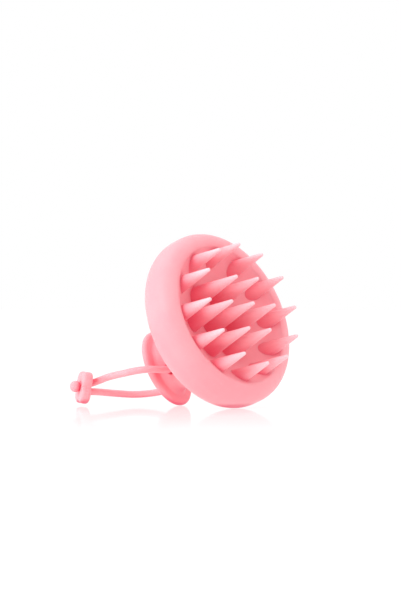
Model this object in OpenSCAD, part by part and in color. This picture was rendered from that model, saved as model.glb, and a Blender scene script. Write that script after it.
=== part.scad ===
// Scalp massager brush with an oval grip handle and a cord loop.
// Millimetres, +Z up. The brush stands as it is put down on a shelf: on the edge of its head
// and the edge of its grip plate, with the bristles facing +X and a little upward.
// The sub-parts are drawn in the head's own frame, where Z runs along the bristles, Z = 0 is
// where the pad's dish meets its sloping border and X points to the side that faces the shelf.

/* [Head] */
// Outer diameter of the head
head_d = 80.4; // [80.4:0.2:84]
// Height of the rim's crest above the dish's edge
rim_rise = 6.9; // [6:0.1:8]
// Width of the rim, from its crest to its outer edge
rim_w = 6.2; // [5.8:0.1:6.6]
// Depth of the rim behind the pad's face
rim_back = 11; // [10.6:0.1:12]
// Thickness of the pad under its dish
pad_t = 2.5; // [2.2:0.1:2.8]
// Depth of the pad's dish in its middle
pad_dish = 7; // [6.4:0.1:7]
// Slope of the pad's border up to the rim, in degrees
border_slope = 39; // [36:0.5:42]
// Thickness of the core plate
core_t = 2.8; // [2.4:0.1:3]
// Wall of the back cover
cover_t = 2.2; // [1.8:0.1:2.4]
// Height of the back cover's dome
dome_rise = 4.5; // [4:0.1:5]

/* [Bristles] */
// Height of the bristles' tips above the dish's edge
bristle_len = 20.6; // [16:0.1:24]
// Diameter of a bristle at the level of the dish's edge
bristle_foot_d = 8; // [7:0.1:8.2]
// Diameter of a bristle's rounded tip
bristle_tip_d = 1.7; // [1.4:0.1:2.4]
// Distance between neighbouring rings of bristles
bristle_pitch = 14; // [13:0.1:14]
// Turn of the bristle pattern on the pad, in degrees
bristle_turn = 26; // [0:1:60]

/* [Handle] */
// Length of the oval grip plate
plate_l = 36.2; // [35:0.2:38]
// Width of the oval grip plate
plate_w = 25; // [24:0.2:26]
// Thickness of the grip plate's rounded edge
plate_edge = 3.2; // [3:0.1:3.6]
// Distance of the plate's mid plane behind the pad's face
plate_back = 41.3; // [41:0.1:43]
// Length of the neck's oval section at its waist
waist_l = 24.4; // [23.4:0.2:26]
// Width of the neck's oval section at its waist
waist_w = 13.2; // [12.8:0.2:15]
// Offset of the handle from the head's centre, along the oval
handle_offset = 9; // [6:0.1:10]
// Turn of the oval about the head's axis, in degrees
handle_turn = 17.5; // [0:0.5:30]
// Diameter of the strap hole through the neck
strap_hole_d = 5; // [4.6:0.1:5.2]

/* [Strap] */
// Diameter of the cord
cord_d = 3.2; // [3:0.1:3.4]
// Size of the flower lock across its lobes
flower_d = 17.2; // [16.6:0.1:17.6]
// Thickness of the flower lock
flower_t = 4.4; // [4.2:0.1:4.8]
// Diameter of the ball end
ball_d = 5.2; // [4.8:0.1:5.6]

/* [Hidden] */
$fn = 96;

// How the brush stands: its axis rises by the tilt, and the origin of the whole model is
// the middle of the floor under the head and the handle
tilt = 21;
stand = [6.8, 0, 39.35];

// Head
head_r = head_d / 2;
crest_r = head_r - rim_w;
pad_r = crest_r - 1.8;
seat_r = crest_r - 0.4;
wall_r = seat_r - 2.2;
rim_wall = 3.5;
crest_round = (crest_r - pad_r) / sin(border_slope);
border_rise = rim_rise - crest_round * (1 - cos(border_slope));
dish_r = pad_r - border_rise / tan(border_slope);
dish_power = dish_r * tan(border_slope) / pad_dish;
dish_n = 10;
bead_r = [29, 30.4];
bead_depth = 1.6;
core_back = pad_t + core_t;
dome_back = rim_back + dome_rise;

// Handle
edge_r = plate_edge / 2;
plate_half = [plate_l / 2 - edge_r, plate_w / 2 - edge_r];
waist_half = [waist_l / 2, waist_w / 2];
root_half = [15, 11];
root_back = dome_back + 0.7;
root_lip = 0.8;
root_flare = 8.7;
plate_flare = 3.2;
plate_flat = 0.5;
oval_n = 40;
post_half = [10.4, 4.7];
post_end = plate_back - 2.6;
cap_half = [14.2, 8.6];
cap_seat = plate_back - 0.4;
hole_back = plate_back - 6.8;
hole_drop = 0.6;

// Screws, as shank radius, length under the head, head radius and head height
handle_screw = [1.25, 14, 2.3, 1.8];
cover_screw = [1.1, 5.1, 2.1, 1.5];
well_r = 2.5;
well_x = 7;
well_floor = 24;
cover_seat = pad_t + 4.35;
cover_screw_n = 4;
cover_screw_ring = 23.5;
cover_screw_turn = 62.5;
boss_r = 2.9;
boss_back = pad_dish + core_back + 0.1;
landing_back = 8.6;
cover_boss_back = 12.3;
screw_gap = 0.15;
drive_r = 1;

// Flower lock and ball end
flower_pos = [-57.8, -21.3, 7.9];
flower_yaw = -123;
flower_pitch = 8;
flower_round = 1.8;
lobe_ring = 4.5;
ball_rise = 1.8;
eyelet_slant = 20;
stem_len = 5.3;
fit_gap = 0.05;

// Route of the cord's centre line in the standing frame, from the flower's eyelet through
// the neck's hole and back to the flower
cord_sides = 8;
route = [
    [-57, -20, 9.5], [-55, -17.5, 10], [-50.5, -16.5, 12], [-44.5, -17, 13.5],
    [-37, -18, 14.5], [-30.5, -18.5, 15.8], [-26, -17.5, 16.5], [-23, -15.5, 16.9],
    [-21.5, -12.5, 16.7], [-21, -9.5, 16.5], [-21, -6, 16.5], [-21, -3.5, 16.5],
    [-22, 3, 18.5], [-22.5, 9.5, 20.5], [-23, 12, 21], [-23.5, 16, 22],
    [-25.5, 19.5, 22], [-29, 22.5, 20.5], [-33.5, 24, 16.2], [-37.5, 23, 11.3],
    [-41, 20.5, 7.3], [-45, 17, 5.1], [-49.5, 14, 4.5], [-52.5, 11, 4],
    [-54.5, 6.5, 4], [-55.5, 1, 4.5], [-56, -5, 5], [-56.5, -10.5, 5.5],
    [-56.5, -16, 6], [-57, -20, 6]
];

// Points of an elliptic arc in the radius and height plane
function arc(centre, half, from, to, n) = [
    for (i = [0 : n])
        let (a = from + (to - from) * i / n)
        [centre[0] + half[0] * cos(a), centre[1] + half[1] * sin(a)]
];

// Heights of the pad's face, and of what lies under it, from the middle out to the dish's edge,
// where the dish is as steep as the border
function dish(drop) = [
    for (i = [0 : dish_n])
        let (share = i / dish_n)
        [dish_r * share, -drop - pad_dish * (1 - pow(share, dish_power))]
];

function reversed(points) = [for (i = [len(points) - 1 : -1 : 0]) points[i]];

// Outline of an oval with the given half sizes
function oval(half) = [
    for (i = [0 : oval_n - 1])
        let (a = 360 * i / oval_n)
        [half[0] * cos(a), half[1] * sin(a)]
];

function mix(a, b, f) = a + (b - a) * f;

// The handle's outside as oval rows: depth behind the pad's face and the oval's half sizes.
// The plate's front stays flat over its outer part and then rises into the neck.
handle_rows = concat(
    [for (a = [-90 : 22.5 : 67.5])
        [plate_back - edge_r * sin(a), plate_half + [1, 1] * edge_r * cos(a)]],
    [[plate_back - edge_r, plate_half]],
    [for (a = [0 : 15 : 90])
        [
            plate_back - edge_r - plate_flare * (1 - cos(a)),
            mix(plate_half, waist_half, plate_flat + (1 - plate_flat) * sin(a))
        ]],
    [for (a = [90 : -15 : 0])
        [root_back + root_lip + root_flare * (1 - cos(a)), mix(root_half, waist_half, sin(a))]],
    [[root_back, root_half]]
);

// Solid through a list of closed rings of points
module skin(rings) {
    m = len(rings);
    n = len(rings[0]);
    sides = [
        for (k = [0 : m - 2], i = [0 : n - 1])
            let (j = (i + 1) % n)
            [k * n + i, (k + 1) * n + i, (k + 1) * n + j, k * n + j]
    ];
    first = [for (i = [0 : n - 1]) i];
    last = [for (i = [n - 1 : -1 : 0]) (m - 1) * n + i];
    polyhedron([for (ring = rings) each ring], concat([first], sides, [last]), convexity = 6);
}

// Places what is drawn in the head's frame into the standing frame
module standing() {
    translate(stand) rotate([0, 90 - tilt, 0]) children();
}

// The handle's own frame: Z along the bristles, X along the oval
module on_handle() {
    rotate([0, 0, handle_turn]) translate([handle_offset, 0, 0]) children();
}

module at_handle_screws() {
    on_handle() for (side = [-1, 1]) translate([side * well_x, 0, 0]) children();
}

module at_cover_screws() {
    for (i = [0 : cover_screw_n - 1])
        rotate([0, 0, cover_screw_turn + 360 * i / cover_screw_n])
            translate([cover_screw_ring, 0, 0]) children();
}

// A round bar between two depths behind the pad's face
module bar(r, front, back) {
    translate([0, 0, -back]) cylinder(r = r, h = back - front);
}

module oval_bar(half, front, back) {
    translate([0, 0, -back]) linear_extrude(back - front) polygon(oval(half));
}

module strap_hole() {
    on_handle() translate([hole_drop, 0, -hole_back])
        rotate([90, 0, 0]) cylinder(d = strap_hole_d, h = 3 * plate_w, center = true);
}

module rim_ring() {
    color("lightpink") standing() rotate_extrude() polygon(concat(
        arc([crest_r, rim_rise - crest_round], [1, 1] * crest_round, 90 + border_slope, 90, 4),
        arc([crest_r, 0], [rim_w, rim_rise], 72, 0, 4),
        arc([crest_r, -rim_wall], [rim_w, rim_back - rim_wall], 0, -90, 5),
        [[seat_r, -rim_back], [seat_r, -pad_t], [pad_r, -pad_t]]
    ));
}

// The pad's face from its middle out: the dish and the sloping border up to the rim
pad_face = concat(dish(0), [[pad_r, border_rise]]);

module bristle_pad() {
    color("hotpink") standing() rotate_extrude() polygon(concat(
        pad_face,
        [
            [pad_r, -pad_t], [bead_r[1], -pad_t], [bead_r[1], -pad_t - bead_depth],
            [bead_r[0], -pad_t - bead_depth], [bead_r[0], -pad_t]
        ],
        reversed(dish(pad_t))
    ));
}

// A bristle's cone, from below the pad's face up to its rounded tip
module bristle() {
    foot_r = bristle_foot_d / 2;
    tip_r = bristle_tip_d / 2;
    sunk = pad_dish + 1;
    rotate_extrude($fn = 48) polygon(concat(
        [[0, -sunk], [foot_r + sunk * (foot_r - tip_r) / bristle_len, -sunk]],
        arc([0, bristle_len - tip_r], [1, 1] * tip_r, 8, 90, 4)
    ));
}

module bristles() {
    color("lightpink") standing() intersection() {
        union() {
            bristle();
            for (ring = [1, 2], i = [0 : 6 * ring - 1])
                rotate([0, 0, bristle_turn + 60 * i / ring])
                    translate([ring * bristle_pitch, 0, 0]) bristle();
        }
        rotate_extrude() polygon(concat(pad_face, [[pad_r, bristle_len + 1], [0, bristle_len + 1]]));
    }
}

module core_plate() {
    color("whitesmoke") standing() difference() {
        union() {
            rotate_extrude() polygon(concat(
                dish(pad_t), [[seat_r, -pad_t], [seat_r, -core_back]], reversed(dish(core_back))
            ));
            intersection() {
                union() {
                    at_handle_screws() bar(boss_r, pad_t, boss_back);
                    at_cover_screws() bar(boss_r, pad_t, landing_back);
                }
                rotate_extrude() polygon(concat(
                    dish(pad_t), [[seat_r, -pad_t], [seat_r, -boss_back - 1], [0, -boss_back - 1]]
                ));
            }
        }
        difference() {
            bar(bead_r[1], pad_t - 1, pad_t + bead_depth);
            bar(bead_r[0], 0, core_back);
        }
        at_handle_screws()
            bar(handle_screw[0], well_floor - handle_screw[1] - screw_gap, boss_back + 1);
        at_cover_screws() {
            bar(cover_screw[2] + screw_gap, pad_t - 1, cover_seat);
            bar(cover_screw[0] + screw_gap, pad_t, landing_back + 1);
        }
    }
}

// Height of the back cover's outside at a distance from the head's axis
function dome(r) = -dome_back + dome_rise * pow(r / seat_r, 2);

module back_cover() {
    color("pink") standing() difference() {
        union() {
            rotate_extrude() polygon(concat(
                [for (i = [0 : 8]) let (r = seat_r * i / 8) [r, dome(r)]],
                [[seat_r, -core_back], [wall_r, -core_back]],
                [for (i = [8 : -1 : 0]) let (r = wall_r * i / 8) [r, dome(r) + cover_t]]
            ));
            on_handle() oval_bar(root_half, boss_back, root_back);
            at_cover_screws() bar(boss_r, landing_back, cover_boss_back);
        }
        at_handle_screws() bar(handle_screw[0] + screw_gap, 0, root_back + 1);
        at_cover_screws() bar(cover_screw[0], 0, cover_seat + cover_screw[1]);
    }
}

module handle_grip() {
    color("lightpink") standing() difference() {
        on_handle() skin([
            for (r = handle_rows) [for (p = oval(r[1])) [p[0], p[1], -r[0]]]
        ]);
        on_handle() oval_bar(post_half, root_back - 1, cap_seat + 1);
        on_handle() oval_bar(cap_half, cap_seat, plate_back + plate_edge);
        strap_hole();
    }
}

module handle_core() {
    color("whitesmoke") standing() difference() {
        on_handle() oval_bar(post_half, root_back, post_end);
        at_handle_screws() {
            bar(well_r, well_floor, post_end + 1);
            bar(handle_screw[0] + screw_gap, root_back - 1, post_end);
        }
        strap_hole();
    }
}

module grip_cap() {
    color("pink") standing() on_handle() {
        oval_bar(cap_half, cap_seat, plate_back + edge_r);
        oval_bar(post_half, post_end, cap_seat + 0.1);
    }
}

// A pan head screw with a six-sided socket, its head resting at a depth behind the pad's
// face and its shank running towards +Z
module pan_screw(size, seat) {
    translate([0, 0, -seat]) difference() {
        union() {
            cylinder(r = size[0], h = size[1]);
            translate([0, 0, -size[3]]) cylinder(r = size[2], h = size[3]);
        }
        translate([0, 0, -size[3] - 1]) cylinder(r = drive_r, h = 2, $fn = 6);
    }
}

module handle_screws() {
    color("silver") standing() at_handle_screws() pan_screw(handle_screw, well_floor);
}

module cover_screws() {
    color("silver") standing() at_cover_screws()
        translate([0, 0, -cover_seat]) mirror([0, 0, 1]) pan_screw(cover_screw, 0);
}

// Frames along the cord: each ring lies across the mean of its two neighbouring pieces
function unit(v) = v / norm(v);
function along(k) = unit(route[min(k + 1, len(route) - 1)] - route[max(k - 1, 0)]);
function ring_at(k) =
    let (t = along(k), side = unit(cross(t, [0, 0, 1])), up = cross(side, t))
    [for (i = [0 : cord_sides - 1])
        let (a = 360 * (i + 0.5) / cord_sides)
        route[k] + cord_d / 2 * (side * cos(a) + up * sin(a))];

module strap_cord() {
    color("hotpink") skin([for (k = [0 : len(route) - 1]) ring_at(k)]);
}

// The flower's own frame: Z along its axis, away from the cord, and Y up
module on_flower() {
    translate(flower_pos) rotate([0, 0, flower_yaw]) rotate([90, 0, 90])
        rotate([-flower_pitch, 0, 0]) children();
}

// The slanted eyelet's frame: the origin is the ball's centre and Z points away from the cord
module on_eyelet() {
    translate([0, 0, flower_t / 2 + ball_rise]) rotate([eyelet_slant, 0, 0]) children();
}

module flower_lock() {
    half_t = flower_t / 2;
    round_at = [flower_d / 2 - lobe_ring - flower_round, half_t - flower_round];
    color("pink") on_flower() difference() {
        union() {
            for (i = [0 : 3])
                rotate([0, 0, 45 + 90 * i]) translate([lobe_ring, 0, 0])
                    rotate_extrude($fn = 48) polygon(concat(
                        [[0, -half_t]],
                        arc([round_at[0], -round_at[1]], [1, 1] * flower_round, -90, 0, 4),
                        arc(round_at, [1, 1] * flower_round, 0, 90, 4),
                        [[0, half_t]]
                    ));
            cylinder(r = lobe_ring, h = flower_t - 1, center = true);
        }
        on_eyelet() cylinder(d = cord_d + 2 * fit_gap, h = 5 * flower_t, center = true);
        on_eyelet() sphere(d = ball_d + 2 * fit_gap);
    }
}

module ball_end() {
    color("hotpink") on_flower() on_eyelet() {
        sphere(d = ball_d);
        translate([0, 0, -stem_len]) cylinder(d = cord_d, h = stem_len);
    }
}

rim_ring();
bristle_pad();
bristles();
core_plate();
back_cover();
handle_grip();
handle_core();
grip_cap();
handle_screws();
cover_screws();
strap_cord();
flower_lock();
ball_end();
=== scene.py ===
import math

import bmesh
import bpy
import numpy as np
from mathutils import Matrix, Vector


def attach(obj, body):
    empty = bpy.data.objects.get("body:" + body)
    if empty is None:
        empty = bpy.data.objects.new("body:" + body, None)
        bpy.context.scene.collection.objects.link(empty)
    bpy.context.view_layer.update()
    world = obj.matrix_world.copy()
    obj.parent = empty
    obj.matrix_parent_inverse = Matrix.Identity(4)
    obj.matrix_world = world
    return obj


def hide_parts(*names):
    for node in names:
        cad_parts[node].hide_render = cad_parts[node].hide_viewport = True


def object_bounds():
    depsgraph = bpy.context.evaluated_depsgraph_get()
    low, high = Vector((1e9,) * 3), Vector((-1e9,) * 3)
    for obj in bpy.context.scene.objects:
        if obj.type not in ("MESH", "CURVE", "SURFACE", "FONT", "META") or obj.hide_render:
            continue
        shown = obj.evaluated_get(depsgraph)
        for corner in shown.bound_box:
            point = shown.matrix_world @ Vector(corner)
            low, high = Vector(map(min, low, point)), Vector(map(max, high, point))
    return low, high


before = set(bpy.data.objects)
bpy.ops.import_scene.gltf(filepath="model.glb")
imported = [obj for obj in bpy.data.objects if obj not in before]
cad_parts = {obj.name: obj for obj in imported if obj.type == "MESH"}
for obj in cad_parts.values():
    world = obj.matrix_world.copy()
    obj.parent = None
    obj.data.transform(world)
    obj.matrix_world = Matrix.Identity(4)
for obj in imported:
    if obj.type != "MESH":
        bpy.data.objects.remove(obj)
cad_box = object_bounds()

# Sizes and places, in millimetres, as the CAD model has them
MM = 0.001
TILT = 21
STAND = (6.8, 0, 39.35)

# The rim, and the back cover behind it
CREST_R, RIM_W, RIM_RISE, RIM_WALL, RIM_BACK = 34, 6.2, 6.9, 3.5, 11
SEAT_R, COVER_T, DOME_BACK, DOME_RISE, CORE_BACK = 33.6, 2.2, 15.5, 4.5, 5.3

# The pad inside the rim: a dish, then a border that slopes up to the rim's crest
PAD_R, PAD_WALL, PAD_T, BORDER_SLOPE = 32.2, 32.18, 2.5, 39
BEAD_R, BEAD_DEPTH = (29, 30.4), 1.6
STEEP = math.tan(math.radians(BORDER_SLOPE))
CREST_ROUND = (CREST_R - PAD_R) / math.sin(math.radians(BORDER_SLOPE))
BORDER_RISE = RIM_RISE - CREST_ROUND * (1 - math.cos(math.radians(BORDER_SLOPE)))
DISH, DISH_R = 7, PAD_R - BORDER_RISE / STEEP
DISH_POWER = DISH_R * STEEP / DISH

# The bristles: their height, foot and tip, the foot's flare and how far it is sunk in the pad,
# and the pattern's pitch and turn
BRISTLE_LEN, FOOT_R, TIP_R, FLARE, SUNK, PITCH, TURN = 20.6, 4.0, 0.85, 0.12, 0.3, 14, 26
TAPER = (FOOT_R - TIP_R) / BRISTLE_LEN

# The handle, from its root on the cover to the grip plate, with the strap's hole
HANDLE_TURN, HANDLE_OFFSET = 17.5, 9
ROOT_BACK, ROOT_LIP, ROOT_FLARE, ROOT_HALF = 16.2, 0.8, 8.7, (15, 11)
PLATE_BACK, EDGE_R, PLATE_FLARE, PLATE_FLAT, PLATE_HALF = 41.3, 1.6, 3.2, 0.5, (16.5, 10.9)
WAIST_HALF, CAP_HALF, CAP_DEPTH = (12.2, 6.6), (14.2, 8.6), 2
HOLE_R, HOLE_BACK, HOLE_X, HOLE_LIP = 2.5, 34.5, 0.6, 0.8

# The strap with its flower lock and ball end, and the route of the strap's centre line
CORD_D, STRAP_LEN = 3.2, 145
FLOWER_POS, FLOWER_YAW, FLOWER_PITCH = (-57.8, -21.3, 7.9), -123, 8
FLOWER_T, FLOWER_D, FLOWER_ROUND, LOBE_RING = 4.4, 17.2, 1.8, 4.5
BALL_D, BALL_RISE, EYELET_SLANT, STEM_LEN = 5.2, 1.8, 20, 5.3
ROUTE = [
    (-57, -20, 9.5), (-55, -17.5, 10), (-50.5, -16.5, 12), (-44.5, -17, 13.5),
    (-37, -18, 14.5), (-30.5, -18.5, 15.8), (-26, -17.5, 16.5), (-23, -15.5, 16.9),
    (-21.5, -12.5, 16.7), (-21, -9.5, 16.5), (-21, -6, 16.5), (-21, -3.5, 16.5),
    (-22, 3, 18.5), (-22.5, 9.5, 20.5), (-23, 12, 21), (-23.5, 16, 22),
    (-25.5, 19.5, 22), (-29, 22.5, 20.5), (-33.5, 24, 16.2), (-37.5, 23, 11.3),
    (-41, 20.5, 7.3), (-45, 17, 5.1), (-49.5, 14, 4.5), (-52.5, 11, 4),
    (-54.5, 6.5, 4), (-55.5, 1, 4.5), (-56, -5, 5), (-56.5, -10.5, 5.5),
    (-56.5, -16, 6), (-57, -20, 6),
]

# Points round each turned or lofted piece
HEAD_SIDES, COVER_SIDES, OVAL_SIDES, CONE_SIDES = 192, 160, 128, 48
BORE_SIDES, FLOWER_SIDES, BALL_SIDES = 40, 160, 64
# Half sizes of the small oval beside the middle point of a flat face
HUB = (0.5, 0.5)

# The camera's place in metres, the direction that it looks from in degrees, and its lens
CAMERA_PLACE = (0.7394, -0.83765, 0.0494)
CAMERA_AZIMUTH, CAMERA_ELEVATION = 41.652, 0.09
LENS, SENSOR_WIDTH = 149.75, 36

# Colours of the silicone: two clouded pinks, a bristle's painted foot shade and tip highlight, and a
# painted crease shade
PINK, DEEP = (0.95, 0.39, 0.43), (0.94, 0.36, 0.405)
FOOT_SHADE, TIP_HIGHLIGHT = (0.95, 0.34, 0.39), (0.98, 0.6, 0.64)
CREASE_SHADE = (0.8, 0.1, 0.17)
WHITE = (1, 1, 1, 1)


def turn(degrees, axis):
    return Matrix.Rotation(math.radians(degrees), 4, axis)


def shift(place):
    return Matrix.Translation(Vector(place) * MM)


HEAD = shift(STAND) @ turn(90 - TILT, "Y")
HANDLE = HEAD @ turn(HANDLE_TURN, "Z") @ shift((HANDLE_OFFSET, 0, 0))
FLOWER = shift(FLOWER_POS) @ turn(FLOWER_YAW + 90, "Z") @ turn(90 - FLOWER_PITCH, "X")
EYELET = FLOWER @ shift((0, 0, FLOWER_T / 2 + BALL_RISE)) @ turn(EYELET_SLANT, "X")


# Camera

def aim_camera():
    azimuth, elevation = math.radians(CAMERA_AZIMUTH), math.radians(CAMERA_ELEVATION)
    back = Vector((math.sin(azimuth), -math.cos(azimuth), math.tan(elevation))).normalized()
    data = bpy.data.cameras.new("photo_camera")
    data.lens, data.sensor_width = LENS, SENSOR_WIDTH
    data.clip_start, data.clip_end = 0.05, 50
    camera = bpy.data.objects.new("photo_camera", data)
    camera.location = CAMERA_PLACE
    camera.rotation_mode = "QUATERNION"
    camera.rotation_quaternion = (-back).to_track_quat("-Z", "Y")
    bpy.context.scene.collection.objects.link(camera)
    bpy.context.scene.camera = camera


# Materials

class Nodes:
    """A new material's node tree, with short calls to add and join nodes."""

    def __init__(self, name):
        self.material = bpy.data.materials.new(name)
        self.material.use_nodes = True
        self.tree = self.material.node_tree
        self.shader = self.tree.nodes["Principled BSDF"]

    def add(self, kind, **values):
        """A new node with values for its sockets or its own settings."""
        node = self.tree.nodes.new("ShaderNode" + kind)
        for key, value in values.items():
            if key in node.inputs:
                node.inputs[key].default_value = value
            else:
                setattr(node, key, value)
        return node

    def join(self, source, target):
        self.tree.links.new(source, target)

    def set(self, **values):
        """Values of the shader's own sockets, named with an underscore for each space."""
        for key, value in values.items():
            self.shader.inputs[key.replace("_", " ")].default_value = value

    def noise(self, scale, detail, rough=0.5):
        place = self.add("TexCoord")
        node = self.add("TexNoise", Scale=scale, Detail=detail, Roughness=rough)
        self.join(place.outputs["Object"], node.inputs["Vector"])
        return node.outputs["Fac"]

    def ramp(self, value, low, high, to_low, to_high):
        """A smooth step of the value, from low to high."""
        node = self.add("MapRange", interpolation_type="SMOOTHSTEP")
        for socket, number in zip(node.inputs[1:5], (low, high, to_low, to_high)):
            socket.default_value = number
        self.join(value, node.inputs[0])
        return node.outputs[0]

    def blend(self, amount, first, second):
        node = self.add("Mix", data_type="RGBA")
        self.join(amount, node.inputs[0])
        for socket, colour in ((node.inputs[6], first), (node.inputs[7], second)):
            if isinstance(colour, tuple):
                socket.default_value = (*colour, 1)
            else:
                self.join(colour, socket)
        return node.outputs[2]

    def maths(self, operation, *values):
        """One arithmetic step on numbers and sockets."""
        node = self.add("Math", operation=operation)
        for socket, value in zip(node.inputs, values):
            if isinstance(value, (int, float)):
                socket.default_value = value
            else:
                self.join(value, socket)
        return node.outputs[0]

    def crease_shade_mask(self, reach):
        """Mask for painted shade: 0 in a crease and 1 where nothing is near."""
        node = self.add("AmbientOcclusion", Distance=reach, samples=12)
        return self.ramp(node.outputs["AO"], 0.1, 0.9, 0, 1)

    def above_pad(self):
        """Height over the dished pad: 0 on its face and 1 at the bristles' tips."""
        place = self.add("TexCoord")
        local = self.add("VectorMath", operation="SUBTRACT")
        along = self.add("VectorMath", operation="DOT_PRODUCT")
        size = self.add("VectorMath", operation="LENGTH")
        local.inputs[1].default_value = HEAD.translation
        along.inputs[1].default_value = HEAD.to_3x3() @ Vector((0, 0, 1))
        self.join(place.outputs["Object"], local.inputs[0])
        self.join(local.outputs[0], along.inputs[0])
        self.join(local.outputs[0], size.inputs[0])
        z = along.outputs["Value"]
        far_squared = self.maths("POWER", size.outputs["Value"], 2)
        out_squared = self.maths("SUBTRACT", far_squared, self.maths("POWER", z, 2))
        share = self.maths("MULTIPLY", out_squared, 1 / (DISH_R * MM) ** 2)
        share = self.maths("SUBTRACT", 1, self.maths("POWER", share, DISH_POWER / 2))
        face = self.maths("MULTIPLY", self.maths("MAXIMUM", share, 0), -DISH * MM)
        whole = self.maths("SUBTRACT", BRISTLE_LEN * MM, face)
        return self.maths("DIVIDE", self.maths("SUBTRACT", z, face), whole)

    def bump(self, height, distance, under=None):
        node = self.add("Bump", Strength=1.0, Distance=distance)
        self.join(height, node.inputs["Height"])
        if under is not None:
            self.join(under, node.inputs["Normal"])
        return node.outputs["Normal"]


def silicone(name, reach, bristly=False):
    """Soft moulded silicone: a cloudy pink with a fine grain and a soft sheen.

    Painted shade: the colour is deeper where something is nearer than the reach, in metres.
    Bristles have painted shade at the foot and a painted highlight at the tip. A weak red glow
    is painted on too, standing in for light scattered inside the silicone.
    """
    n = Nodes(name)
    cloud = n.ramp(n.noise(55, 4), 0.35, 0.65, 0, 1)
    speck = n.ramp(n.noise(2600, 2), 0.62, 0.78, 0, 0.35)
    colour = n.blend(cloud, PINK, DEEP)
    colour = n.blend(speck, colour, tuple(0.5 * (c + 1) for c in PINK))
    # Painted shade at the bristles' feet and a painted highlight at their tips.
    if bristly:
        height = n.above_pad()
        colour = n.blend(n.ramp(height, 0.25, 1, 0, 1), colour, TIP_HIGHLIGHT)
        colour = n.blend(n.ramp(height, 0, 0.5, 0, 1), FOOT_SHADE, colour)
    # Painted shade: the colour goes to the crease shade where other surfaces are near.
    colour = n.blend(n.crease_shade_mask(reach), CREASE_SHADE, colour)
    n.join(colour, n.shader.inputs["Base Color"])
    n.join(n.ramp(n.noise(210, 4), 0.3, 0.7, 0.41, 0.52), n.shader.inputs["Roughness"])
    fine = n.bump(n.noise(5200, 3), 0.000018)
    n.join(n.bump(n.noise(420, 3), 0.00004, under=fine), n.shader.inputs["Normal"])
    # The weak red emission is a painted glow, standing in for light scattered inside the silicone.
    n.set(IOR=1.41, Emission_Color=(1, 0.05, 0.12, 1), Emission_Strength=0.05)
    n.set(Subsurface_Weight=0.25, Subsurface_Radius=(1.0, 0.42, 0.4), Subsurface_Scale=0.0025)
    n.set(Sheen_Weight=0.12, Sheen_Roughness=0.45, Sheen_Tint=(1, 0.86, 0.88, 1))
    return n.material


def soft_touch(name):
    """A hard cover with a rubbery paint: the same pink, a finer and flatter grain."""
    n = Nodes(name)
    cloud = n.ramp(n.noise(40, 4), 0.35, 0.65, 0, 1)
    n.join(n.blend(cloud, PINK, DEEP), n.shader.inputs["Base Color"])
    n.join(n.ramp(n.noise(260, 4), 0.3, 0.7, 0.5, 0.62), n.shader.inputs["Roughness"])
    n.join(n.bump(n.noise(7800, 2), 0.000012), n.shader.inputs["Normal"])
    n.set(IOR=1.45, Sheen_Weight=0.1, Sheen_Roughness=0.5)
    return n.material


def moulded_plastic(name):
    """White structural plastic with flow marks and a spark-eroded grain."""
    n = Nodes(name)
    flow = n.ramp(n.noise(120, 5, 0.6), 0.35, 0.7, 0, 1)
    n.join(n.blend(flow, (0.86, 0.86, 0.84), (0.78, 0.78, 0.77)), n.shader.inputs["Base Color"])
    n.join(n.ramp(n.noise(700, 3), 0.3, 0.7, 0.34, 0.5), n.shader.inputs["Roughness"])
    n.join(n.bump(n.noise(3200, 3), 0.00003), n.shader.inputs["Normal"])
    n.set(IOR=1.5)
    return n.material


def brushed_steel(name):
    """Stainless steel with fine marks of the brush across it."""
    n = Nodes(name)
    place, stretched = n.add("TexCoord"), n.add("Mapping", Scale=(300, 300, 9000))
    line = n.add("TexNoise", Scale=1.0, Detail=4.0)
    n.join(place.outputs["Object"], stretched.inputs["Vector"])
    n.join(stretched.outputs[0], line.inputs["Vector"])
    marks = n.ramp(line.outputs["Fac"], 0.3, 0.7, 0, 1)
    n.join(n.blend(marks, (0.52, 0.52, 0.54), (0.68, 0.68, 0.69)), n.shader.inputs["Base Color"])
    n.join(n.ramp(line.outputs["Fac"], 0.3, 0.7, 0.22, 0.38), n.shader.inputs["Roughness"])
    n.join(n.bump(line.outputs["Fac"], 0.00001), n.shader.inputs["Normal"])
    n.set(Metallic=1)
    return n.material


# Mesh building

def arc(centre, half, first, last, count):
    """Points of an elliptic arc, as radius and height, from one angle to another in degrees."""
    angles = np.radians(np.linspace(first, last, count + 1))
    return [(centre[0] + half[0] * math.cos(a), centre[1] + half[1] * math.sin(a)) for a in angles]


def corner(a, b, c, radius, count=4):
    """A rounded corner at b, on the way from a to c."""
    a, b, c = (np.array(p, float) for p in (a, b, c))
    start = b + (a - b) / np.linalg.norm(a - b) * radius
    end = b + (c - b) / np.linalg.norm(c - b) * radius
    steps = np.linspace(0, 1, count + 1)
    return [tuple((1 - t) ** 2 * start + 2 * t * (1 - t) * b + t * t * end) for t in steps]


def circle(radius, height, count):
    """A ring about the axis, or a single point on it."""
    if radius == 0:
        return np.array([(0, 0, height)], float)
    a = np.arange(count) * 2 * math.pi / count
    return np.stack([radius * np.cos(a), radius * np.sin(a), np.full(count, height)], axis=1)


def lathe(profile, count):
    return [circle(r, z, count) for r, z in profile]


def oval(half, height, count=OVAL_SIDES):
    a = np.arange(count) * 2 * math.pi / count
    return np.stack([half[0] * np.cos(a), half[1] * np.sin(a), np.full(count, height)], axis=1)


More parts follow.
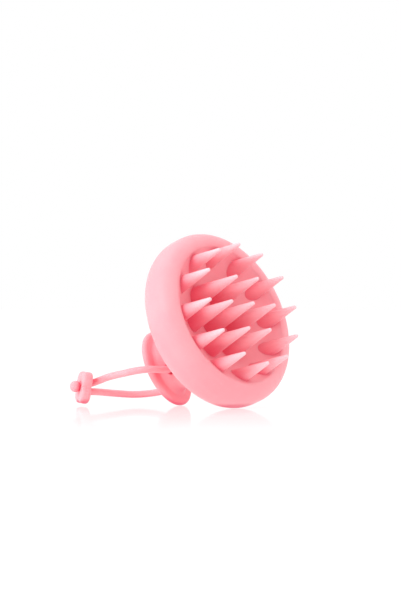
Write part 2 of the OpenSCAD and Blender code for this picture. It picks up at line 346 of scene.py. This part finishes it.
class Mesh:
    """Points in millimetres and faces, gathered before they become one piece."""

    def __init__(self):
        self.points, self.faces = [], []

    def ring(self, points):
        first = len(self.points)
        self.points += [tuple(p) for p in points]
        return list(range(first, len(self.points)))

    def skin(self, a, b):
        """Faces between two rings of equal count, or between a ring and a single point."""
        count = max(len(a), len(b))
        for i in range(count):
            j = (i + 1) % count
            if len(a) == 1:
                self.faces.append((a[0], b[i], b[j]))
            elif len(b) == 1:
                self.faces.append((a[i], a[j], b[0]))
            else:
                self.faces.append((a[i], a[j], b[j], b[i]))

    def loft(self, rings, closed=False):
        """A surface through the rings in turn, and back to the first if it is closed."""
        made = [self.ring(r) for r in rings]
        for a, b in zip(made, made[1:]):
            self.skin(a, b)
        if closed:
            self.skin(made[-1], made[0])
        return made

    def piece(self, name, matrix, sharp=50):
        """The mesh as an object, with outward normals and smooth shading up to the sharp angle."""
        data = bpy.data.meshes.new(name)
        data.from_pydata([matrix @ (Vector(p) * MM) for p in self.points], [], self.faces)
        bm = bmesh.new()
        bm.from_mesh(data)
        bmesh.ops.remove_doubles(bm, verts=bm.verts, dist=1e-7)
        bmesh.ops.recalc_face_normals(bm, faces=bm.faces)
        bm.to_mesh(data)
        bm.free()
        data.polygons.foreach_set("use_smooth", [True] * len(data.polygons))
        data.set_sharp_from_angle(angle=math.radians(sharp))
        made = bpy.data.objects.new(name, data)
        bpy.context.scene.collection.objects.link(made)
        return made


def fit_out(piece, body, material, node):
    """Gives a piece its material and its body, and hides the CAD node that it stands for."""
    piece.data.materials.append(material)
    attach(piece, body)
    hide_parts(node)
    return piece


# The head

def rim():
    """The thick ring: over its crest, down its outside, and round behind the pad and the core."""
    back, seam_round, wall_top = -RIM_BACK, 0.3, BORDER_RISE - 0.5
    crest = (CREST_R, RIM_RISE - CREST_ROUND)
    profile = [
        *arc(crest, (CREST_ROUND, CREST_ROUND), 90 + BORDER_SLOPE, 90, 12),
        *arc((CREST_R, 0), (RIM_W, RIM_RISE), 90, 0, 26)[1:],
        *arc((CREST_R, -RIM_WALL), (RIM_W, RIM_BACK - RIM_WALL), 0, -84, 26),
        *corner((CREST_R, back), (SEAT_R, back), (SEAT_R, -PAD_T), seam_round),
        (SEAT_R, -CORE_BACK), (SEAT_R, -PAD_T), (PAD_R, -PAD_T), (PAD_R, 0), (PAD_R, wall_top),
    ]
    mesh = Mesh()
    mesh.loft(lathe(profile, HEAD_SIDES), closed=True)
    return mesh.piece("silicone_rim", HEAD)


def bristle_places():
    """One bristle in the middle, six round it and twelve outside."""
    yield 0.0, 0.0
    for ring in (1, 2):
        for i in range(6 * ring):
            a = math.radians(TURN + 60 * i / ring)
            yield ring * PITCH * math.cos(a), ring * PITCH * math.sin(a)


def pad_height(radius):
    """Height of the pad's face at a distance from the head's axis: the dish, then the border."""
    hollow = DISH * np.maximum(1 - (radius / DISH_R) ** DISH_POWER, 0)
    return STEEP * np.maximum(radius - DISH_R, 0) - hollow


def dish(drop, count):
    """The dish's profile from its edge to its middle, moved back by a distance."""
    return [(DISH_R * t, -drop - DISH * (1 - t ** DISH_POWER)) for t in np.linspace(1, 0, count)]


def pad():
    """The pad, with the bead under its edge that sits in the core plate."""
    bottom = -PAD_T
    inner, outer = BEAD_R
    mesh = Mesh()
    mesh.loft(lathe([
        *dish(0, 33)[::-1],
        *[(r, pad_height(r)) for r in np.linspace(DISH_R, PAD_WALL, 6)[1:]],
        (PAD_WALL, bottom), (outer, bottom), (outer, bottom - BEAD_DEPTH),
        (inner, bottom - BEAD_DEPTH), (inner, bottom),
        *dish(PAD_T, 9),
    ], HEAD_SIDES))
    return mesh.piece("dished_pad", HEAD)


def bristle_rows(x, y):
    """Rings of a bristle, from its foot under the pad's face, up the cone, to its rounded tip.

    The foot follows the dish and stops short of the rim's wall, so its radius differs all round.
    """
    wall_gap, passes, flare_rows, cone_rows = 0.2, 6, 4, 19
    a = np.arange(CONE_SIDES) * 2 * math.pi / CONE_SIDES
    ahead = x * np.cos(a) + y * np.sin(a)
    to_wall = -ahead + np.sqrt(ahead ** 2 + (PAD_WALL - wall_gap) ** 2 - x * x - y * y)
    foot = FOOT_R + FLARE
    for _ in range(passes):
        foot = np.minimum(foot, to_wall)
        ground = pad_height(np.hypot(x + foot * np.cos(a), y + foot * np.sin(a)))
        foot = FOOT_R - TAPER * ground + FLARE
    foot = np.minimum(foot, to_wall)
    top = ground + 2 * FLARE
    neck = FOOT_R - TAPER * top

    def row(radius, height):
        return np.column_stack([x + radius * np.cos(a), y + radius * np.sin(a), height + 0 * a])

    rows = [np.array([(x, y, ground.min() - SUNK)]), row(foot, ground - SUNK)]
    cone_foot = FOOT_R - TAPER * ground
    for t in np.linspace(0, 1, flare_rows):
        radius = (1 - t) ** 2 * foot + 2 * t * (1 - t) * cone_foot + t * t * neck
        rows.append(row(radius, (1 - t * t) * ground + t * t * top))
    tip = arc((0, BRISTLE_LEN - TIP_R), (TIP_R, TIP_R), 8, 90, 8)
    end_r, end_z = tip[0]
    for t in np.linspace(0, 1, cone_rows)[1:-1]:
        rows.append(row(neck + (end_r - neck) * t, top + (end_z - top) * t))
    return rows + [row(*p) for p in tip[:-1]] + [np.array([(x, y, BRISTLE_LEN)])]


def bristles():
    mesh = Mesh()
    for x, y in bristle_places():
        mesh.loft(bristle_rows(x, y))
    return mesh.piece("bristle_cones", HEAD)


# The back cover and the handle

def dome(radius):
    """Height of the cover's outside at a distance from the head's axis."""
    return -DOME_BACK + DOME_RISE * (radius / SEAT_R) ** 2


def back_cover():
    """A domed shell with a low oval seat for the handle. Its rows run from that oval to its edge."""
    gap, seat_lip, edge_drop, seam_z = 0.08, 0.25, 0.12, -10.6
    place = HEAD.inverted() @ HANDLE

    def on_cover(half):
        """An oval of the handle's frame, as points in the head's frame."""
        return np.array([(place @ Vector(MM * p)) / MM for p in oval(half, 0, COVER_SIDES)])

    seat = on_cover(ROOT_HALF)
    seat_foot = on_cover((ROOT_HALF[0] + seat_lip, ROOT_HALF[1] + seat_lip))
    bearing = np.arctan2(seat_foot[:, 1], seat_foot[:, 0])
    rim_r = SEAT_R - gap
    edge = np.stack([rim_r * np.cos(bearing), rim_r * np.sin(bearing), 0 * bearing], axis=1)

    def row(t, drop=0.0):
        """A ring on the dome, from the seat's foot (0) to the cover's edge (1)."""
        points = seat_foot + (edge - seat_foot) * t
        points[:, 2] = dome(np.linalg.norm(points[:, :2], axis=1)) + drop
        return points

    middle = seat[:, :2].mean(0)
    level = np.full(COVER_SIDES, -ROOT_BACK)
    flat = [np.column_stack([seat[:, :2] * s + middle * (1 - s), level])
            for s in (0.25, 0.5, 0.75, 0.94)]
    # Each ring of the shoulder: its share drawn in to the middle, and its height over the seat
    shoulder = [seat + (0, 0, -ROOT_BACK + h) - (seat - seat.mean(0)) * s
                for s, h in ((0.015, 0.0), (0.004, 0.04), (0.0, 0.15), (0.0, 0.45))]
    outer = [row(t) for t in np.linspace(0, 1, 30) ** 1.2]
    outer[-1] = row(1.0, edge_drop)
    side = [edge + (0, 0, z) for z in (seam_z, -8, -CORE_BACK)]
    wall_r = SEAT_R - COVER_T
    inner_edge = edge * (wall_r / rim_r)
    inside = [inner_edge + (0, 0, z) for z in (-CORE_BACK, -7, dome(wall_r) + COVER_T)]
    roof = [np.column_stack([inner_edge[:, :2] * s, np.full(COVER_SIDES, dome(wall_r * s) + COVER_T)])
            for s in np.linspace(0.95, 0.1, 16)]
    first = np.array([(*middle, -ROOT_BACK)])
    pole = np.array([(0, 0, dome(0) + COVER_T)])
    mesh = Mesh()
    mesh.loft([first, *flat, *shoulder, *outer, *side, *inside, *roof, pole])
    return mesh.piece("cover_shell", HEAD)


def mix(a, b, share):
    return tuple(p + (q - p) * share for p, q in zip(a, b))


def plate_oval(rise):
    """Half sizes on the way from the plate's flat front (0) up to the neck's waist (1)."""
    return mix(PLATE_HALF, WAIST_HALF, PLATE_FLAT + (1 - PLATE_FLAT) * rise)


def neck_half(depth):
    """The neck's half sizes at a depth behind the pad, between the root's lip and the plate's edge."""
    if depth > PLATE_BACK - EDGE_R - PLATE_FLARE:
        c = 1 - (PLATE_BACK - EDGE_R - depth) / PLATE_FLARE
        return plate_oval(math.sqrt(max(0, 1 - c * c)))
    if depth < ROOT_BACK + ROOT_LIP + ROOT_FLARE:
        c = 1 - (depth - ROOT_BACK - ROOT_LIP) / ROOT_FLARE
        return mix(ROOT_HALF, WAIST_HALF, math.sqrt(max(0, 1 - c * c)))
    return WAIST_HALF


def grip_rows():
    """Rings from the root's face, up the neck, round the plate and into the cap's pocket."""
    steps = np.radians(np.linspace(0, 90, 22))
    root_top, plate_front = ROOT_BACK + ROOT_LIP, PLATE_BACK - EDGE_R
    neck_low, neck_high = root_top + ROOT_FLARE, plate_front - PLATE_FLARE
    rear, pocket = PLATE_BACK + EDGE_R, PLATE_BACK + EDGE_R - CAP_DEPTH
    lip, cap_gap, land = 0.35, 0.1, 0.6

    def grown(half, extra):
        return tuple(h + extra for h in half)

    rows = [(ROOT_BACK, mix(HUB, ROOT_HALF, t)) for t in (0, 0.4, 0.8)]
    rows += [(ROOT_BACK + 0.5 * lip * (1 - math.cos(a)), grown(ROOT_HALF, -lip * (1 - math.sin(a))))
             for a in steps[::5]]
    rows += [(root_top + ROOT_FLARE * (1 - math.cos(a)), mix(ROOT_HALF, WAIST_HALF, math.sin(a)))
             for a in steps[1:]]
    rows += [(neck_low + (neck_high - neck_low) * t, WAIST_HALF) for t in np.linspace(0, 1, 13)[1:-1]]
    rows += [(plate_front - PLATE_FLARE * (1 - math.cos(a)), plate_oval(math.sin(a)))
             for a in steps[::-1]]
    rows += [(plate_front, mix(PLATE_HALF, WAIST_HALF, PLATE_FLAT * t)) for t in (0.8, 0.6, 0.4, 0.2, 0)]
    rows += [(PLATE_BACK - EDGE_R * math.sin(a), grown(PLATE_HALF, EDGE_R * math.cos(a)))
             for a in np.radians(np.linspace(84, -90, 30))]
    rows += [(rear, grown(CAP_HALF, land))]
    rows += [(rear + lip * (math.sin(a) - 1), grown(CAP_HALF, cap_gap + lip * (1 - math.cos(a))))
             for a in steps[::-5]]
    rows += [(pocket, grown(CAP_HALF, cap_gap))]
    rows += [(pocket, mix(HUB, CAP_HALF, t)) for t in (0.6, 0)]
    first, last = (np.array([(0, 0, -depth)], float) for depth in (ROOT_BACK, pocket))
    return [first, *[oval(half, -depth) for depth, half in rows], last]


def mouth_point(side, angle, radius, sunk):
    """A point of the neck's surface at a radius from the strap hole's axis, sunk into the hole."""
    x, z = HOLE_X + radius * math.cos(angle), -HOLE_BACK + radius * math.sin(angle)
    half = neck_half(-z)
    y = half[1] * math.sqrt(1 - (x / half[0]) ** 2) - sunk
    return (x, side * y, z)


def grip_body():
    """The overmoulded grip, with the strap's hole let into its neck through two rounded mouths."""
    outer_r, bore_r = HOLE_R + HOLE_LIP, HOLE_R - 0.06
    cleared_r = outer_r + 0.45
    neck_from, neck_to = -PLATE_BACK + 2.5, -ROOT_BACK - 1
    mesh = Mesh()
    mesh.loft(grip_rows())
    kept = []
    for face in mesh.faces:
        x, y, z = np.mean([mesh.points[i] for i in face], axis=0)
        if not (neck_from < z < neck_to and math.hypot(x - HOLE_X, z + HOLE_BACK) < cleared_r):
            kept.append(face)
    mesh.faces = kept

    # Each mouth's rings run from the neck's surface into the hole
    turns = np.linspace(0, 2 * math.pi, BORE_SIDES, endpoint=False)
    ends = {}
    for side in (1, -1):
        rings = []
        for a in np.radians(np.linspace(0, 90, 9)):
            radius = bore_r + (outer_r - bore_r) * (1 - math.sin(a))
            sunk = HOLE_LIP * (1 - math.cos(a))
            rings.append([mouth_point(side, t, radius, sunk) for t in turns])
        ends[side] = mesh.loft(rings)[-1]

    # The bore's rings run from one mouth to the other
    chain = [ends[1]]
    pairs = [(mesh.points[i], mesh.points[j]) for i, j in zip(ends[1], ends[-1])]
    for t in np.linspace(0, 1, 9)[1:-1]:
        chain.append(mesh.ring([(p[0], (1 - t) * p[1] + t * q[1], p[2]) for p, q in pairs]))
    chain.append(ends[-1])
    for a, b in zip(chain, chain[1:]):
        mesh.skin(a, b)
    grip = mesh.piece("grip_body", HANDLE)

    # The gap between the neck and each mouth is filled with triangles
    bm = bmesh.new()
    bm.from_mesh(grip.data)
    open_edges = [e for e in bm.edges if e.is_boundary]
    to_grip = HANDLE.inverted()
    for side in (1, -1):
        loop = [e for e in open_edges if side * (to_grip @ e.verts[0].co).y > 0]
        bmesh.ops.triangle_fill(bm, edges=loop, use_beauty=True)
    bmesh.ops.recalc_face_normals(bm, faces=bm.faces)
    for face in bm.faces:
        face.smooth = True
    bm.to_mesh(grip.data)
    bm.free()
    return grip


def grip_end_cap():
    """The oval cap in the plate's pocket, rounded at its edge and flush with the plate."""
    rear, r, chamfer = PLATE_BACK + EDGE_R, 0.4, 0.3
    seat = rear - CAP_DEPTH + 0.02
    rows = [(seat, mix(HUB, CAP_HALF, t)) for t in (0, 0.5, 0.96)]
    rows += [(seat + chamfer, CAP_HALF)]
    rows += [(rear - r + r * math.sin(a), tuple(h - r * (1 - math.cos(a)) for h in CAP_HALF))
             for a in np.radians(np.linspace(0, 90, 9))]
    rows += [(rear, mix(HUB, CAP_HALF, t)) for t in (0.9, 0.75, 0.6, 0.45, 0.3, 0.15, 0)]
    mesh = Mesh()
    mesh.loft([np.array([(0, 0, -seat)], float), *[oval(h, -d) for d, h in rows],
               np.array([(0, 0, -rear)], float)])
    return mesh.piece("grip_end_cap", HANDLE)


# The strap, its flower lock and its ball end

def strap_loop():
    """The cord as one smooth open curve along its route."""
    curve = bpy.data.curves.new("strap_loop", "CURVE")
    curve.dimensions = "3D"
    curve.resolution_u = 12
    curve.bevel_depth, curve.bevel_resolution = CORD_D / 2 * MM, 8
    curve.use_fill_caps = True
    spline = curve.splines.new("NURBS")
    spline.points.add(len(ROUTE) - 1)
    for point, place in zip(spline.points, ROUTE):
        point.co = (*(Vector(place) * MM), 1)
    spline.order_u, spline.use_endpoint_u = 5, True
    strap = bpy.data.objects.new("strap_loop", curve)
    bpy.context.scene.collection.objects.link(strap)
    return strap


def flower_outline():
    """Radius of the four-lobed outline at each angle: circles on a ring, with softened valleys.

    The third row is 1 in the middle of a petal and 0 in a valley.
    """
    lobe_r, passes, most_grown, least = FLOWER_D / 2 - LOBE_RING, 10, 0.4, 0.01
    a = np.arange(FLOWER_SIDES) * 2 * math.pi / FLOWER_SIDES
    local = a % (math.pi / 2) - math.pi / 4
    across = lobe_r ** 2 - (LOBE_RING * np.sin(local)) ** 2
    far = LOBE_RING * np.cos(local) + np.sqrt(np.maximum(across, least))
    soft = far.copy()
    for _ in range(passes):
        soft = (np.roll(soft, 1) + 2 * soft + np.roll(soft, -1)) / 4
    return a, np.minimum(soft, far + most_grown), np.sin(2 * a) ** 2


def flower_stopper():
    """A plump flower round a slanted eyelet: from the eyelet, over one face, down the side and back."""
    half_t, eyelet_r = FLOWER_T / 2, CORD_D / 2 + 0.05
    mouth_r, lip_r, lip_drop, bore_drop = eyelet_r + 0.35, eyelet_r + 0.08, 0.45, 0.8
    crease_depth, face_hollow = 0.12, 0.2
    a, outline, petal = flower_outline()
    rim_line = np.stack([outline * np.cos(a), outline * np.sin(a)], axis=1)
    centre_z = FLOWER_T / 2 + BALL_RISE
    slant = math.tan(math.radians(EYELET_SLANT))

    def row(share, height, radius):
        """A ring at a share of the way from the eyelet's circle to the outline."""
        hub = np.stack([radius * np.cos(a), radius * np.sin(a) + (centre_z - height) * slant], axis=1)
        points = hub + (rim_line - hub) * share
        crease = 1 - crease_depth * (1 - petal) * math.sin(math.pi * min(1, 0.15 + share)) ** 2
        return np.column_stack([points, np.full(FLOWER_SIDES, height) * crease])

    soft = FLOWER_ROUND / (FLOWER_D / 2)
    front = [(t * (1 - soft), half_t - face_hollow * (1 - t)) for t in np.linspace(0, 1, 9)[:-1]]
    front += [(1 - soft + soft * math.sin(t), half_t - FLOWER_ROUND * (1 - math.cos(t)))
              for t in np.radians(np.linspace(0, 90, 9))]
    front += [(1, h) for h in np.linspace(half_t - FLOWER_ROUND, 0, 4)[1:-1]]
    profile = front + [(1, 0)] + [(share, -height) for share, height in front[::-1]]
    rings = [row(share, height, mouth_r) for share, height in profile]
    rings += [row(0, -half_t + lip_drop, lip_r)]
    rings += [row(0, h, eyelet_r) for h in np.linspace(-half_t + bore_drop, half_t - bore_drop, 7)]
    rings += [row(0, half_t - lip_drop, lip_r)]
    mesh = Mesh()
    mesh.loft(rings, closed=True)
    return mesh.piece("flower_stopper", FLOWER, sharp=80)


def ball_tip():
    """The ball outside the eyelet, with a filleted stem that goes into it."""
    r, stem_r = BALL_D / 2, CORD_D / 2
    neck = r * math.sqrt(0.5)
    profile = [
        (0, r), *arc((0, 0), (r, r), 87, -45, 30),
        *corner((neck, -neck), (stem_r, stem_r - 2 * neck), (stem_r, -STEM_LEN), 0.6, 8)[1:],
        (stem_r, -0.8 * STEM_LEN),
        *corner((stem_r, 0), (stem_r, -STEM_LEN), (0, -STEM_LEN), 0.3), (0, -STEM_LEN),
    ]
    mesh = Mesh()
    mesh.loft(lathe(profile, BALL_SIDES))
    return mesh.piece("ball_tip", EYELET)


# The stage

def softbox(name, place, size, power):
    """A round soft light that faces the middle of the object."""
    data = bpy.data.lights.new(name, "AREA")
    data.shape, data.size, data.energy = "DISK", size, power
    lamp = bpy.data.objects.new(name, data)
    lamp.location = place
    aim = Vector((0, 0, 0.04)) - Vector(place)
    lamp.rotation_mode = "QUATERNION"
    lamp.rotation_quaternion = aim.to_track_quat("-Z", "Y")
    bpy.context.scene.collection.objects.link(lamp)


def pale_floor():
    """White glowing ground, glossy only near the object and at grazing angles."""
    n = Nodes("pale_floor")
    n.set(Base_Color=(0.9, 0.9, 0.9, 1), Roughness=0.8, Specular_IOR_Level=0.0)
    glow = n.add("Emission", Color=WHITE, Strength=1.06)
    gloss = n.add("BsdfGlossy", Color=WHITE, Roughness=0.06)
    place, away = n.add("TexCoord"), n.add("VectorMath", operation="LENGTH")
    n.join(place.outputs["Object"], away.inputs[0])
    near = n.ramp(away.outputs["Value"], 0.02, 0.28, 0.45, 0)
    grazing = n.maths("POWER", n.add("LayerWeight").outputs["Facing"], 6)
    lit, whole = n.add("MixShader"), n.add("MixShader")
    lit.inputs[0].default_value = 0.85
    n.join(n.maths("MULTIPLY", near, grazing), whole.inputs[0])
    n.join(n.shader.outputs[0], lit.inputs[1])
    n.join(glow.outputs[0], lit.inputs[2])
    n.join(lit.outputs[0], whole.inputs[1])
    n.join(gloss.outputs[0], whole.inputs[2])
    n.join(whole.outputs[0], n.tree.nodes["Material Output"].inputs["Surface"])
    return n.material


def studio():
    """White surroundings, three soft lights and the floor, a hair below the object."""
    half, hair = 6.0, 0.0001
    scene = bpy.context.scene
    scene.view_settings.view_transform = "Standard"
    world = bpy.data.worlds.new("white_studio")
    world.use_nodes = True
    background = world.node_tree.nodes["Background"]
    background.inputs["Color"].default_value = WHITE
    background.inputs["Strength"].default_value = 1.0
    scene.world = world
    softbox("key_light", (-0.14, -1.12, 0.7), 0.45, 6.3)
    softbox("side_light", (-0.85, -0.8, 0.1), 0.3, 2.6)
    softbox("top_light", (-0.4, 0.2, 1.0), 0.6, 1.2)
    corners = [(x * half, y * half, 0) for x, y in ((-1, -1), (1, -1), (1, 1), (-1, 1))]
    data = bpy.data.meshes.new("floor")
    data.from_pydata(corners, [], [(0, 1, 2, 3)])
    data.materials.append(pale_floor())
    floor = bpy.data.objects.new("floor", data)
    floor.location.z = cad_box[0].z - hair
    scene.collection.objects.link(floor)


def build_strap():
    strap = fit_out(strap_loop(), "strap", silicone("strap_silicone", 0.006),
                    "strap_cord")
    flower = fit_out(flower_stopper(), "strap", silicone("flower_silicone", 0.005),
                     "flower_lock")
    ball = fit_out(ball_tip(), "ball", silicone("ball_silicone", 0.005), "ball_end")


def build_brush():
    fit_out(rim(), "brush", silicone("rim_silicone", 0.003), "rim_ring")
    fit_out(pad(), "brush", silicone("pad_silicone", 0.008), "bristle_pad")
    fit_out(bristles(), "brush", silicone("bristle_silicone", 0.012, bristly=True),
            "bristles")
    fit_out(back_cover(), "brush", soft_touch("cover_soft_touch"), "back_cover")
    fit_out(grip_body(), "brush", silicone("grip_silicone", 0.011), "handle_grip")
    fit_out(grip_end_cap(), "brush", soft_touch("cap_soft_touch"), "grip_cap")


def finish_hidden_nodes():
    """The CAD's own inner parts stay, with materials of their own."""
    plastic, steel = moulded_plastic("core_plastic"), brushed_steel("screw_steel")
    for node, look, slot in (
        ("core_plate", plastic, "core_plastic"), ("handle_core", plastic, "core_plastic"),
        ("handle_screws", steel, "screw_steel"), ("cover_screws", steel, "screw_steel"),
    ):
        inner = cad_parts[node]
        inner.data.materials.clear()
        inner.data.materials.append(look)


aim_camera()
build_strap()
build_brush()
finish_hidden_nodes()
studio()
